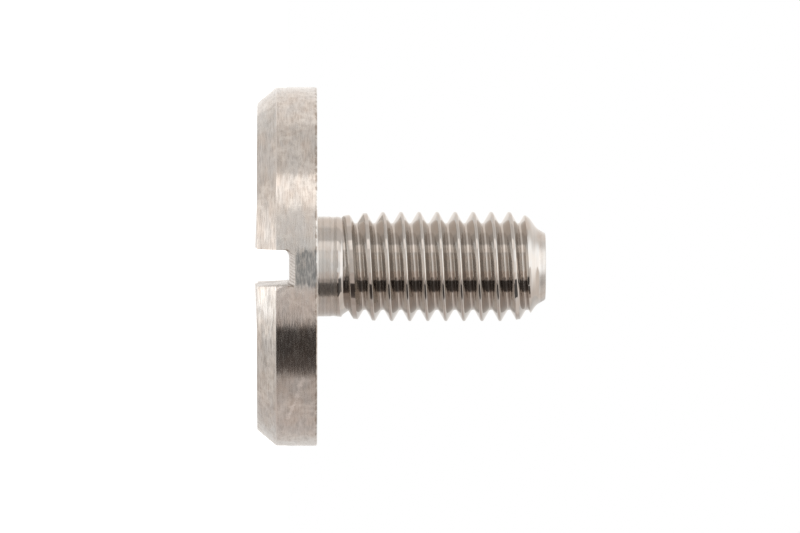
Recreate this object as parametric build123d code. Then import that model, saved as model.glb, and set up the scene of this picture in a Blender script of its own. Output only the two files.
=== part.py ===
from build123d import *

import math
import os

# A slotted screw with a large, thin head, turned from one piece of stainless bar. Millimetres.
# The origin is the centre of the head's bearing face. +Z runs along the shank to its tip, so the head
# is below the origin and the screw stands on it. The driver slot runs along Y.

# head
HEAD_DIA = 15.9
HEAD_THICKNESS = 2.65
FACE_BEVEL_WIDTH = 0.705  # across the outer face
FACE_BEVEL_DEPTH = 0.85  # along the rim
SEAT_EDGE_BREAK = 0.05
CROWN_DIA = 5.3  # the shallow cone that facing leaves round the head's centre
CROWN_HEIGHT = 0.13

# driver slot
SLOT_FLOOR_WIDTH = 1.52
SLOT_DRAFT_DEG = 2.0
SLOT_DEPTH = 1.42  # at the head's centre, from its outer face
SLOT_OFFSET = -0.03  # the saw ran a hair to one side of the axis
SLOT_WORN_CORNER = 0.42  # in the floor's -X corner, from the worn side of the saw
SLOT_CRISP_CORNER = 0.12  # in the +X corner
SLOT_ARM_RADIUS = 120.0  # the arm that carries the blank past the saw, so the floor is an arc

# shank
SHANK_LENGTH = 10.12  # from the bearing face to the tip
NECK_DIA = 4.43
NECK_LENGTH = 1.02
NECK_FILLET = 0.15
TIP_FACE_DIA = 2.94
TIP_CONE_DEG = 30.0  # half angle
TIP_EDGE_BREAK = 0.05

# thread: M5 x 0.8, right hand, 60 degree form with a rounded root
THREAD_DIA = 4.87  # over the crests, near the low limit of tolerance 6g
THREAD_PITCH = 0.8
FLANK_DEG = 30.0
GROOVE_HEIGHT_AT_X = 0.519  # where the groove's helix, carried on into the neck, crosses the +X side
RUNOUT_DEG = 34.2  # half angle of the cone on which the groove climbs out at the neck
FADE_RADIUS = 15.1  # the crests sink towards the neck along this arc
FADE_LENGTH = 3.46  # from the bearing face to the first full crest
LEAD_LENGTH = 0.6  # the last full crest starts to sink here before the nose
LEAD_DROP = 0.09
NOSE_RADIUS = 0.68  # then the crests round off towards the tip along this arc
NOSE_LENGTH = 1.19  # from the start of the nose to the tip
NOSE_DEG = 56.0  # the nose's arc ends at this slope
NOSE_RUN = 0.42  # and goes on straight for this height, down into the tip's cone
ROOT_STRIPS = 4  # helical strips that make up the rounded root

# what follows from them
head_radius = HEAD_DIA / 2
neck_radius = NECK_DIA / 2
tip_face_radius = TIP_FACE_DIA / 2
crest_radius = THREAD_DIA / 2
crest_flat = THREAD_PITCH / 8
root_arc = THREAD_PITCH / 8  # radius of the rounded root
neck_core = NECK_LENGTH / 2  # the threaded length starts here, inside the neck


def turned(outline):
    """The solid that a half outline, drawn as radius and height, makes when it is turned about Z."""
    return revolve(Plane.XZ * outline, Axis.Z)


def stepped(arc, steps):
    """Points along a small arc, so that it turns to a few narrow cones in place of a finely faceted torus."""
    return [arc @ (i / steps) for i in range(steps + 1)]


def head_blank():
    """The head and neck, down to the cone on which the thread's groove climbs out."""
    cone_length = neck_radius / math.tan(math.radians(RUNOUT_DEG))
    corner = CenterArc((neck_radius + NECK_FILLET, NECK_FILLET), NECK_FILLET, 180, 90)
    outline = Polyline(
        *stepped(corner, 2),
        (head_radius - SEAT_EDGE_BREAK, 0),
        (head_radius, -SEAT_EDGE_BREAK),
        (head_radius, FACE_BEVEL_DEPTH - HEAD_THICKNESS),
        (head_radius - FACE_BEVEL_WIDTH, -HEAD_THICKNESS),
        (CROWN_DIA / 2, -HEAD_THICKNESS),
        (0, -HEAD_THICKNESS - CROWN_HEIGHT),
        (0, NECK_LENGTH + cone_length),
        (neck_radius, NECK_LENGTH),
        close=True,
    )
    return turned(make_face(outline))


def shank_blank():
    """The bar for the thread: faded in from the neck, with a rounded nose and a coned tip."""
    fade_deg = math.degrees(math.asin((FADE_LENGTH - neck_core) / FADE_RADIUS))
    fade = CenterArc((crest_radius - FADE_RADIUS, FADE_LENGTH), FADE_RADIUS, -fade_deg, fade_deg)
    nose_start = SHANK_LENGTH - NOSE_LENGTH
    nose = CenterArc((crest_radius - LEAD_DROP - NOSE_RADIUS, nose_start), NOSE_RADIUS, 0, NOSE_DEG)
    nose_end = nose @ 1
    foot_radius = nose_end.X - NOSE_RUN * math.tan(math.radians(NOSE_DEG))
    foot_height = nose_end.Y + NOSE_RUN
    bar = Polyline(
        (0, neck_core),
        *stepped(fade, 3),
        (crest_radius, nose_start - LEAD_LENGTH),
        *stepped(nose, 4),
        (foot_radius, foot_height),
        (0, foot_height),
        close=True,
    )
    cone_start = SHANK_LENGTH - NOSE_LENGTH / 2
    cone_radius = tip_face_radius + NOSE_LENGTH / 2 * math.tan(math.radians(TIP_CONE_DEG))
    cone = Polyline(
        (0, cone_start),
        (cone_radius, cone_start),
        (tip_face_radius, SHANK_LENGTH),
        (0, SHANK_LENGTH),
        close=True,
    )
    tip = make_face(cone)
    tip_corner = tip.vertices().sort_by_distance((tip_face_radius, SHANK_LENGTH))[0]
    return turned(make_face(bar) + chamfer(tip_corner, TIP_EDGE_BREAK))


def groove_section():
    """Corners of the threading tool, as radius and height: its rounded nose, then its mouth in the air."""
    flank = math.radians(FLANK_DEG)
    vee_radius = crest_radius - (THREAD_PITCH - crest_flat) / 2 / math.tan(flank)  # where the flanks meet
    nose_centre = vee_radius + root_arc / math.sin(flank)
    mouth_radius = crest_radius + crest_flat / 4 / math.tan(flank)
    mouth_half = (mouth_radius - vee_radius) * math.tan(flank)
    half_arc = math.pi / 2 - flank
    arc = [half_arc * (2 * i / ROOT_STRIPS - 1) for i in range(ROOT_STRIPS + 1)]
    nose = [(nose_centre - root_arc * math.cos(angle), root_arc * math.sin(angle)) for angle in arc]
    return nose + [(mouth_radius, mouth_half), (mouth_radius, -mouth_half)]


def groove_turn():
    """What the threading tool takes out in one turn: helical walls, closed by the tool's section at each end."""
    corners = groove_section()
    helices = [Helix(THREAD_PITCH, THREAD_PITCH, radius, center=(0, 0, height)) for radius, height in corners]
    walls = [Face.make_surface_from_curves(a, b) for a, b in zip(helices, helices[1:] + helices[:1])]
    ends = [
        Face(Wire.make_polygon([(radius, 0, height + rise) for radius, height in corners]))
        for rise in (0, THREAD_PITCH)
    ]
    return Solid(Shell(walls + ends))


def threaded_shank():
    """The shank with its thread cut turn by turn, each turn of the groove starting where the last ends."""
    shank = shank_blank()
    one_turn = groove_turn()
    for turn in range(math.ceil((SHANK_LENGTH - GROOVE_HEIGHT_AT_X) / THREAD_PITCH)):
        shank -= Pos(0, 0, GROOVE_HEIGHT_AT_X + turn * THREAD_PITCH) * one_turn
    return shank


def slot_cut():
    """What the slotting saw takes out: a tapered section swung along Y on the arm's arc."""
    floor = SLOT_DEPTH - HEAD_THICKNESS
    mouth = -HEAD_THICKNESS - 2 * CROWN_HEIGHT
    floor_half = SLOT_FLOOR_WIDTH / 2
    mouth_half = floor_half + (floor - mouth) * math.tan(math.radians(SLOT_DRAFT_DEG))
    section = make_face(
        Polyline((-floor_half, floor), (floor_half, floor), (mouth_half, mouth), (-mouth_half, mouth), close=True)
    )
    section = fillet(section.vertices().sort_by_distance((-floor_half, floor))[0], SLOT_WORN_CORNER)
    section = fillet(section.vertices().sort_by_distance((floor_half, floor))[0], SLOT_CRISP_CORNER)
    arm = Axis((0, 0, floor + SLOT_ARM_RADIUS), (1, 0, 0))
    swing = 2.2 * math.degrees(math.asin(head_radius / SLOT_ARM_RADIUS))
    cut = revolve((Plane.XZ * section).rotate(arm, -swing / 2), arm, swing)
    return Pos(SLOT_OFFSET, 0, 0) * cut


screw = head_blank() + threaded_shank() - slot_cut()
screw.label = "screw"

os.makedirs("parts", exist_ok=True)
export_step(screw, "parts/screw.step")
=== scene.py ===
"""A slotted large head screw, turned from stainless steel bar, in a plain white studio.

The screw stands on its head: the origin is the centre of the head's bearing face, +Z runs along
the shank to its tip, and the driver slot runs along Y. Lengths are metres.
"""

import logging
import math
from dataclasses import dataclass, replace
from enum import Enum
from typing import ClassVar

import bmesh
import bpy
from bmesh.types import BMesh, BMVert
from bpy.types import Material, Mesh, Node, NodeSocket, NodeTree, Object, ShaderNodeTree
from mathutils import Matrix, Vector


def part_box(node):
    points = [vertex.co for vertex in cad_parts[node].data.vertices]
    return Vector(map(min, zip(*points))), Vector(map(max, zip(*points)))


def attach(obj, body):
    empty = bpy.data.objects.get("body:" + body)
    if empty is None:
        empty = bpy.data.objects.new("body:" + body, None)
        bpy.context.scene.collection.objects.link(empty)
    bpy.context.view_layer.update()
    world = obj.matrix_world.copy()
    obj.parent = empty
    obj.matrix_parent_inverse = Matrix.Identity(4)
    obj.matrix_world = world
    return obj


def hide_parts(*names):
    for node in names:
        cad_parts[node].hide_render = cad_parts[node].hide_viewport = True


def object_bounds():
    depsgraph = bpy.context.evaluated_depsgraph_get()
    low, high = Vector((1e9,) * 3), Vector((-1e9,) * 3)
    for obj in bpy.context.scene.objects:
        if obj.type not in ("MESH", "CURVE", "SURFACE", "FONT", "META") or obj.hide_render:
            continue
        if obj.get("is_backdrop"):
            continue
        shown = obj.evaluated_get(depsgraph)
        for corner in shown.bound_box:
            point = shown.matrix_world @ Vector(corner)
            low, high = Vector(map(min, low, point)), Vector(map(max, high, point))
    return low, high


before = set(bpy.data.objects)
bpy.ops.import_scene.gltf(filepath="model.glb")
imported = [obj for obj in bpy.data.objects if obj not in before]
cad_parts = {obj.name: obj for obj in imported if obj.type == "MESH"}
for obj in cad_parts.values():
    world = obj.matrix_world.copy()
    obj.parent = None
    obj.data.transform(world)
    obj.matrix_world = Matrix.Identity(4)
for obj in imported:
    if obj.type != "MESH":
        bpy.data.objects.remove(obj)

MM = 0.001
MICROMETRE = 0.001 * MM
FULL_TURN = 2 * math.pi
BODY = "root"
CAD_NODE = "screw"

log = logging.getLogger("screw")


class Surface(Enum):
    """The machined surfaces of the screw, in the order of its material slots."""

    HEAD = 0
    FACE = 1
    NECK = 2
    THREAD = 3
    TIP = 4
    SLOT = 5
    SLOT_WALL = 6


# -------------------- outline helpers


def eased_corner(before: Vector, corner: Vector, after: Vector, radius: float, steps: int) -> list[Vector]:
    """Points along the small arc that takes the sharpness off a corner.

    Args:
        before: The point from which the outline comes.
        corner: The sharp corner.
        after: The point to which the outline goes on.
        radius: The arc's radius.
        steps: The number of straight steps along the arc.

    Returns:
        The points from the arc's start to its end.
    """
    back = (before - corner).normalized()
    ahead = (after - corner).normalized()
    half_angle = back.angle(ahead) / 2
    centre = corner + (back + ahead).normalized() * (radius / math.sin(half_angle))
    start = (corner + back * (radius / math.tan(half_angle)) - centre).normalized()
    end = (corner + ahead * (radius / math.tan(half_angle)) - centre).normalized()
    return [centre + start.slerp(end, step / steps) * radius for step in range(steps + 1)]


def straight(start: Vector, end: Vector, steps: int) -> list[Vector]:
    """The points that part a straight run into equal steps, without its two ends."""
    return [start.lerp(end, step / steps) for step in range(1, steps)]


def soft_least(first: float, second: float, blend: float) -> float:
    """The smaller of two lengths, with the change from one to the other rounded off over a blend length."""
    overlap = max(blend - abs(first - second), 0.0) / blend
    return min(first, second) - overlap * overlap * blend / 4


def soft_most(first: float, second: float, blend: float) -> float:
    """The larger of two lengths, with the change from one to the other rounded off over a blend length."""
    return -soft_least(-first, -second, blend)


def smooth_step(value: float) -> float:
    """A value kept from 0 to 1 and eased at both ends."""
    part = min(max(value, 0.0), 1.0)
    return part * part * (3 - 2 * part)


# -------------------- the screw's form


class Skin:
    """A closed skin of columns round the Z axis, built up ring by ring."""

    def __init__(self, columns: int) -> None:
        """Starts an empty skin with this number of columns."""
        self.columns = columns
        self.mesh: BMesh = bmesh.new()

    def point(self, column: int, radius: float, height: float) -> BMVert:
        """A new corner of the skin on one column."""
        angle = FULL_TURN * column / self.columns
        return self.mesh.verts.new((radius * math.cos(angle), radius * math.sin(angle), height))

    def ring(self, radius: float, height: float) -> list[BMVert]:
        """A new level ring, one corner to a column."""
        return [self.point(column, radius, height) for column in range(self.columns)]

    def face(self, corners: list[BMVert], surface: Surface) -> None:
        """One face of a surface, or nothing where its corners run together.

        Args:
            corners: The face's corners, of which some may be the same.
            surface: The surface that the face belongs to.
        """
        distinct = list(dict.fromkeys(corners))
        if len(distinct) < 3:
            return
        made = self.mesh.faces.new(distinct)
        made.material_index = surface.value
        made.smooth = True

    def band(self, lower: list[BMVert], upper: list[BMVert], surface: Surface) -> None:
        """The faces between two rings.

        Args:
            lower: The ring below.
            upper: The ring above.
            surface: The surface that the faces belong to.
        """
        for column in range(self.columns):
            beside = (column + 1) % self.columns
            self.face([lower[column], lower[beside], upper[beside], upper[column]], surface)

    def cap(self, ring: list[BMVert], height: float, surface: Surface, outward: int) -> None:
        """Closes the skin from a ring to a centre point.

        Args:
            ring: The ring that is closed.
            height: The height of the centre point.
            surface: The surface that the cap belongs to.
            outward: 1 where the cap looks up, and -1 where it looks down.
        """
        centre = self.mesh.verts.new((0, 0, height))
        for column in range(self.columns):
            beside = (column + outward) % self.columns
            self.face([ring[column], ring[beside], centre], surface)


@dataclass
class Head:
    """The thin head: a crowned and bevelled outer face, a turned rim and a flat bearing face."""

    radius: float
    thickness: float = 2.65 * MM
    bevel_width: float = 0.705 * MM
    bevel_depth: float = 0.85 * MM
    seat_edge_break: float = 0.05 * MM
    crown_radius: float = 3.7 * MM
    crown_height: float = 0.11 * MM
    bevel_ease: float = 0.04 * MM
    crown_ease: float = 45.0 * MM
    cone_steps: int = 8
    crown_steps: int = 4
    face_steps: int = 12
    corner_steps: int = 3
    bevel_steps: int = 6
    rim_steps: int = 10
    seat_steps: int = 16

    def outline(self, neck_radius: float, neck_fillet: float) -> list[Vector]:
        """The head's half outline as radius and height, from near the face's centre to the neck.

        Args:
            neck_radius: The radius of the neck that the bearing face ends at.
            neck_fillet: The radius of the fillet between the two.

        Returns:
            The outline's points, the first of them on the crown.
        """
        centre = Vector((0.0, -self.thickness - self.crown_height))
        crown = Vector((self.crown_radius, -self.thickness))
        bevel_inner = Vector((self.radius - self.bevel_width, -self.thickness))
        bevel_outer = Vector((self.radius, self.bevel_depth - self.thickness))
        rim_end = Vector((self.radius, -self.seat_edge_break))
        seat_start = Vector((self.radius - self.seat_edge_break, 0.0))
        seat_end = Vector((neck_radius + neck_fillet, 0.0))
        crown_arc = eased_corner(centre, crown, bevel_inner, self.crown_ease, self.crown_steps)
        inner_arc = eased_corner(crown, bevel_inner, bevel_outer, self.bevel_ease, self.corner_steps)
        outer_arc = eased_corner(bevel_inner, bevel_outer, rim_end, self.bevel_ease, self.corner_steps)
        points = [*straight(centre, crown_arc[0], self.cone_steps), *crown_arc]
        points += [*straight(crown_arc[-1], inner_arc[0], self.face_steps), *inner_arc]
        points += [*straight(inner_arc[-1], outer_arc[0], self.bevel_steps), *outer_arc]
        points += [*straight(outer_arc[-1], rim_end, self.rim_steps), rim_end]
        return [*points, seat_start, *straight(seat_start, seat_end, self.seat_steps)]


@dataclass
class DriverSlot:
    """The driver slot: a tapered section swung along Y on the arc of the slotting arm."""

    face_height: float
    sweep: float
    floor_width: float = 1.52 * MM
    draft: float = math.radians(2.0)
    depth: float = 1.42 * MM
    worn_corner: float = 0.42 * MM
    crisp_corner: float = 0.12 * MM
    off_centre: float = -0.045 * MM
    arm_radius: float = 120.0 * MM
    clearance: float = 0.3 * MM
    corner_steps: int = 8
    sweep_steps: int = 18

    def wall_at(self, height: float, side: int) -> float:
        """The X, at a height, of the wall towards +X where side is 1, and of the other where it is -1."""
        above = self.face_height + self.depth - height
        return self.off_centre + side * (self.floor_width / 2 + above * math.tan(self.draft))

    def floor_at(self, reach: float) -> float:
        """The floor's height at a distance along Y from the middle."""
        return self.face_height + self.depth + self.arm_radius - math.sqrt(self.arm_radius**2 - reach**2)

    def section(self) -> list[Vector]:
        """The cutter's corners across the slot, round from mouth to mouth.

        Returns:
            The corners, as X and height.
        """
        floor = self.face_height + self.depth
        mouth = self.face_height - self.clearance
        floor_half = self.floor_width / 2
        mouth_half = floor_half + (floor - mouth) * math.tan(self.draft)
        right = [Vector((mouth_half, mouth)), Vector((floor_half, floor))]
        left = [Vector((-point.x, point.y)) for point in reversed(right)]
        crisp = eased_corner(*right, left[0], self.crisp_corner, self.corner_steps)
        worn = eased_corner(right[1], *left, self.worn_corner, self.corner_steps)
        section = [right[0], *crisp, *worn, left[1]]
        return [point + Vector((self.off_centre, 0.0)) for point in section]

    def cutter(self) -> Object:
        """The solid that the slot takes out of the head.

        Returns:
            The solid.
        """
        section = self.section()
        floor = self.face_height + self.depth
        swing = math.asin(self.sweep / self.arm_radius)
        arm = Vector((0.0, 0.0, floor + self.arm_radius))
        mesh = bmesh.new()
        stations = []
        for step in range(self.sweep_steps + 1):
            turn = Matrix.Rotation(swing * (2 * step / self.sweep_steps - 1), 3, "X")
            stations.append([mesh.verts.new(arm + turn @ (Vector((p.x, 0.0, p.y)) - arm)) for p in section])
        walls = (0, len(section) - 2)
        for near, far in zip(stations, stations[1:]):
            for index in range(len(section)):
                beside = (index + 1) % len(section)
                face = mesh.faces.new([near[index], near[beside], far[beside], far[index]])
                face.material_index = (Surface.SLOT_WALL if index in walls else Surface.SLOT).value
        mesh.faces.new(stations[0])
        mesh.faces.new(stations[-1])
        bmesh.ops.recalc_face_normals(mesh, faces=mesh.faces)
        return object_from(mesh, "slot_cutter")


@dataclass
class Thread:
    """An M5 x 0.8 right-hand thread with 60 degree flanks, a rounded root and eased crests."""

    crest_radius: float = 2.435 * MM
    pitch: float = 0.8 * MM
    flank: float = math.radians(30.0)
    groove_height_at_x: float = 0.519 * MM
    head_side_ease: float = 0.08 * MM
    tip_side_ease: float = 0.07 * MM
    root_steps: int = 4
    flank_shares: tuple[float, ...] = (0.04, 0.36, 0.68, 0.96)
    crest_steps: int = 5

    @property
    def root_arc(self) -> float:
        """The radius of the rounded root."""
        return self.pitch / 8

    @property
    def vee_radius(self) -> float:
        """The radius at which the two flanks of a groove would meet."""
        crest_flat = self.pitch / 8
        return self.crest_radius - (self.pitch - crest_flat) / 2 / math.tan(self.flank)

    def half_section(self, ease: float) -> list[Vector]:
        """Half of one groove, from the root to the middle of the crest.

        Args:
            ease: How far down the flank the crest's rounding starts.

        Returns:
            The section's points, as height above the groove's centre and radius.
        """
        root_centre = self.vee_radius + self.root_arc / math.sin(self.flank)
        root_turn = math.pi / 2 - self.flank
        section = []
        for step in range(self.root_steps + 1):
            angle = root_turn * step / self.root_steps
            height = self.root_arc * math.sin(angle)
            section.append(Vector((height, root_centre - self.root_arc * math.cos(angle))))
        corner = Vector((self.pitch * 7 / 16, self.crest_radius))
        middle = Vector((self.pitch / 2, self.crest_radius))
        start = corner + (section[-1] - corner).normalized() * ease
        foot = section[-1]
        section += [foot.lerp(start, share) for share in self.flank_shares]
        for step in range(self.crest_steps + 1):
            part = step / self.crest_steps
            section.append(start.lerp(corner, part).lerp(corner.lerp(middle, part), part))
        return section

    def rows(self) -> list[Vector]:
        """One whole pitch of the section, from one crest's middle up to before the next.

        Returns:
            The section's points, as height and radius.
        """
        tip_side = self.half_section(self.tip_side_ease)
        falling = [Vector((-point.x, point.y)) for point in reversed(tip_side[1:])]
        return falling + self.half_section(self.head_side_ease)[:-1]


@dataclass
class Shank:
    """The shank: a plain neck, the thread that climbs out of it, a rounded nose and a coned tip."""

    length: float
    thread: Thread
    neck_radius: float = 2.215 * MM
    neck_length: float = 1.02 * MM
    neck_fillet: float = 0.07 * MM
    neck_relief: float = 0.022 * MM
    relief_length: float = 0.32 * MM
    tip_face_radius: float = 1.47 * MM
    tip_cone: float = math.radians(30.0)
    tip_ease: float = 0.09 * MM
    runout: float = math.radians(34.2)
    fade_radius: float = 15.1 * MM
    fade_length: float = 3.46 * MM
    lead_drop: float = 0.09 * MM
    lead_length: float = 0.6 * MM
    nose_radius: float = 0.68 * MM
    nose_length: float = 1.19 * MM
    nose_slope: float = math.radians(56.0)
    tip_start: float = 0.3 * MM
    blend: float = 0.03 * MM
    nose_blend: float = 0.12 * MM
    shoulder: float = 0.10 * MM
    fillet_steps: int = 5
    neck_steps: int = 16
    cone_steps: int = 4
    end_steps: int = 8

    def neck_outline(self) -> list[Vector]:
        """The fillet and the plain neck up to where its shoulder rounds off.

        Returns:
            The outline's points, as radius and height.
        """
        seat_end = Vector((self.neck_radius + self.neck_fillet, 0.0))
        corner = Vector((self.neck_radius, 0.0))
        neck_end = Vector((self.neck_radius, self.neck_length - self.shoulder / math.tan(self.runout)))
        fillet = eased_corner(seat_end, corner, neck_end, self.neck_fillet, self.fillet_steps)
        points = [*fillet, *straight(fillet[-1], neck_end, self.neck_steps), neck_end]
        return [Vector((point.x - self.relief_at(point.y, neck_end.y), point.y)) for point in points]

    def relief_at(self, height: float, neck_end: float) -> float:
        """How far the neck is relieved at a height: a shallow hollow just before its shoulder."""
        part = 1 - abs(2 * (neck_end - height) / self.relief_length - 1)
        return self.neck_relief * smooth_step(part)

    def cone_radius_at(self, height: float) -> float:
        """The radius of the tip's cone at a height."""
        return self.tip_face_radius + (self.length - height) * math.tan(self.tip_cone)

    def bar_radius_at(self, height: float) -> float:
        """The radius of the unthreaded bar: faded in from the neck and rounded to the tip.

        Args:
            height: The height above the bearing face.

        Returns:
            The radius there.
        """
        radius = self.thread.crest_radius
        if height < self.fade_length:
            rise = self.fade_length - height
            return radius - self.fade_radius + math.sqrt(self.fade_radius**2 - rise**2)
        past = height - (self.length - self.nose_length)
        lead = min(max(1 + past / self.lead_length, 0.0), 1.0)
        radius -= self.lead_drop * lead * lead
        if past <= 0:
            return radius
        arc = min(past, self.nose_radius * math.sin(self.nose_slope))
        nose = radius - self.nose_radius + math.sqrt(self.nose_radius**2 - arc**2)
        nose -= (past - arc) * math.tan(self.nose_slope)
        return soft_most(nose, self.cone_radius_at(height), self.nose_blend)

    def radius_at(self, groove_radius: float, height: float) -> float:
        """The shank's radius where the full thread would have a given radius.

        Args:
            groove_radius: The radius of the endless thread there.
            height: The height above the bearing face.

        Returns:
            The radius with the bar's ends and the cone of the run-out taken into account.
        """
        cone = self.neck_radius - (height - self.neck_length) * math.tan(self.runout)
        cut = soft_least(groove_radius, self.bar_radius_at(height), self.blend)
        return soft_most(cut, soft_least(self.neck_radius, cone, self.shoulder), self.blend)

    def wrap_thread(self, skin: Skin, foot: list[BMVert], top: list[BMVert]) -> None:
        """Wraps the thread round the shank between two level rings.

        Its rows follow the helix, so that crests and roots run along edges. A row that leaves the
        thread at either end is gathered into the level ring there.

        Args:
            skin: The skin that gets the faces.
            foot: The ring at the end of the neck.
            top: The ring at the start of the tip's cone.
        """
        rows = self.thread.rows()
        low = foot[0].co.z
        high = top[0].co.z
        turns = math.ceil((high - self.thread.groove_height_at_x) / self.thread.pitch) + 2
        count = turns * len(rows)
        spacing = self.thread.pitch / len(rows)
        lines = []
        for column in range(skin.columns):
            start = self.thread.groove_height_at_x + self.thread.pitch * (column / skin.columns - 1)
            line = []
            for index in range(count):
                turn, row = divmod(index, len(rows))
                height = start + turn * self.thread.pitch + rows[row].x
                if height < low + spacing / 4:
                    line.append(foot[column])
                elif height > high - spacing / 4:
                    line.append(top[column])
                else:
                    line.append(skin.point(column, self.radius_at(rows[row].y, height), height))
            lines.append(line)
        lines.append(lines[0][len(rows) :] + [top[0]] * len(rows))
        for near, far in zip(lines, lines[1:]):
            for index in range(count - 1):
                skin.face([near[index], far[index], far[index + 1], near[index + 1]], Surface.THREAD)

    def tip_outline(self) -> list[Vector]:
        """The tip from the start of its cone to near the centre of its end face.

        Returns:
            The outline's points, as radius and height.
        """
        start_height = self.length - self.tip_start
        start = Vector((self.bar_radius_at(start_height), start_height))
        corner = Vector((self.tip_face_radius, self.length))
        centre = Vector((0.0, self.length))
        ease = eased_corner(start, corner, centre, self.tip_ease, self.cone_steps)
        cone = [start, *straight(start, ease[0], self.cone_steps), *ease]
        return [*cone, *straight(ease[-1], centre, self.end_steps)]


@dataclass
class Screw:
    """The whole screw in one piece: head, shank and slot."""

    head: Head
    shank: Shank
    slot: DriverSlot
    columns: int = 208
    crease: float = math.radians(33.0)
    level_share: float = 0.1

    def skin(self) -> BMesh:
        """The turned and threaded blank, before it is slotted.

        Returns:
            The blank's mesh.
        """
        skin = Skin(self.columns)
        head = self.head.outline(self.shank.neck_radius, self.shank.neck_fillet)
        rings = [skin.ring(point.x, point.y) for point in head]
        skin.cap(rings[0], -self.head.thickness - self.head.crown_height, Surface.FACE, -1)
        for index in range(len(head) - 1):
            rise = abs(head[index + 1].y - head[index].y)
            level = rise < self.level_share * abs(head[index + 1].x - head[index].x)
            skin.band(rings[index], rings[index + 1], Surface.FACE if level else Surface.HEAD)
        neck = [skin.ring(point.x, point.y) for point in self.shank.neck_outline()]
        skin.band(rings[-1], neck[0], Surface.FACE)
        for lower, upper in zip(neck, neck[1:]):
            skin.band(lower, upper, Surface.NECK)
        tip = [skin.ring(point.x, point.y) for point in self.shank.tip_outline()]
        self.shank.wrap_thread(skin, neck[-1], tip[0])
        for lower, upper in zip(tip, tip[1:]):
            skin.band(lower, upper, Surface.TIP)
        skin.cap(tip[-1], self.shank.length, Surface.TIP, 1)
        return skin.mesh

    def build(self, materials: list[Material]) -> Object:
        """Builds the screw, cuts its slot and dresses it.

        Args:
            materials: One material for each surface, in the order of Surface.

        Returns:
            The finished piece.
        """
        blank = object_from(self.skin(), "screw_dressed")
        cutter = self.slot.cutter()
        for material in materials:
            blank.data.materials.append(material)
            cutter.data.materials.append(material)
        cut = blank.modifiers.new("slotting", "BOOLEAN")
        cut.operation = "DIFFERENCE"
        cut.solver = "EXACT"
        cut.object = cutter
        cut.material_mode = "INDEX"
        blank.data = applied_mesh(blank)
        blank.modifiers.clear()
        bpy.data.objects.remove(cutter)
        blank.data.set_sharp_from_angle(angle=self.crease)
        return blank


def object_from(mesh: BMesh, name: str) -> Object:
    """Turns a finished bmesh into an object of the scene.

    Args:
        mesh: The bmesh, which is freed.
        name: The object's name.

    Returns:
        The new object, at the origin.
    """
    data = bpy.data.meshes.new(name)
    mesh.to_mesh(data)
    mesh.free()
    made = bpy.data.objects.new(name, data)
    bpy.context.scene.collection.objects.link(made)
    return made


def applied_mesh(source: Object) -> Mesh:
    """Applies an object's modifiers.

    Args:
        source: The object.

    Returns:
        The resulting mesh, under the object's name.
    """
    depsgraph = bpy.context.evaluated_depsgraph_get()
    mesh = bpy.data.meshes.new_from_object(source.evaluated_get(depsgraph))
    mesh.name = source.name
    return mesh


# -------------------- nodes


Color = tuple[float, float, float]
Place = tuple[float, float, float]

ORIGIN: Place = (0.0, 0.0, 0.0)
UP: Place = (0.0, 0.0, 1.0)


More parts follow.
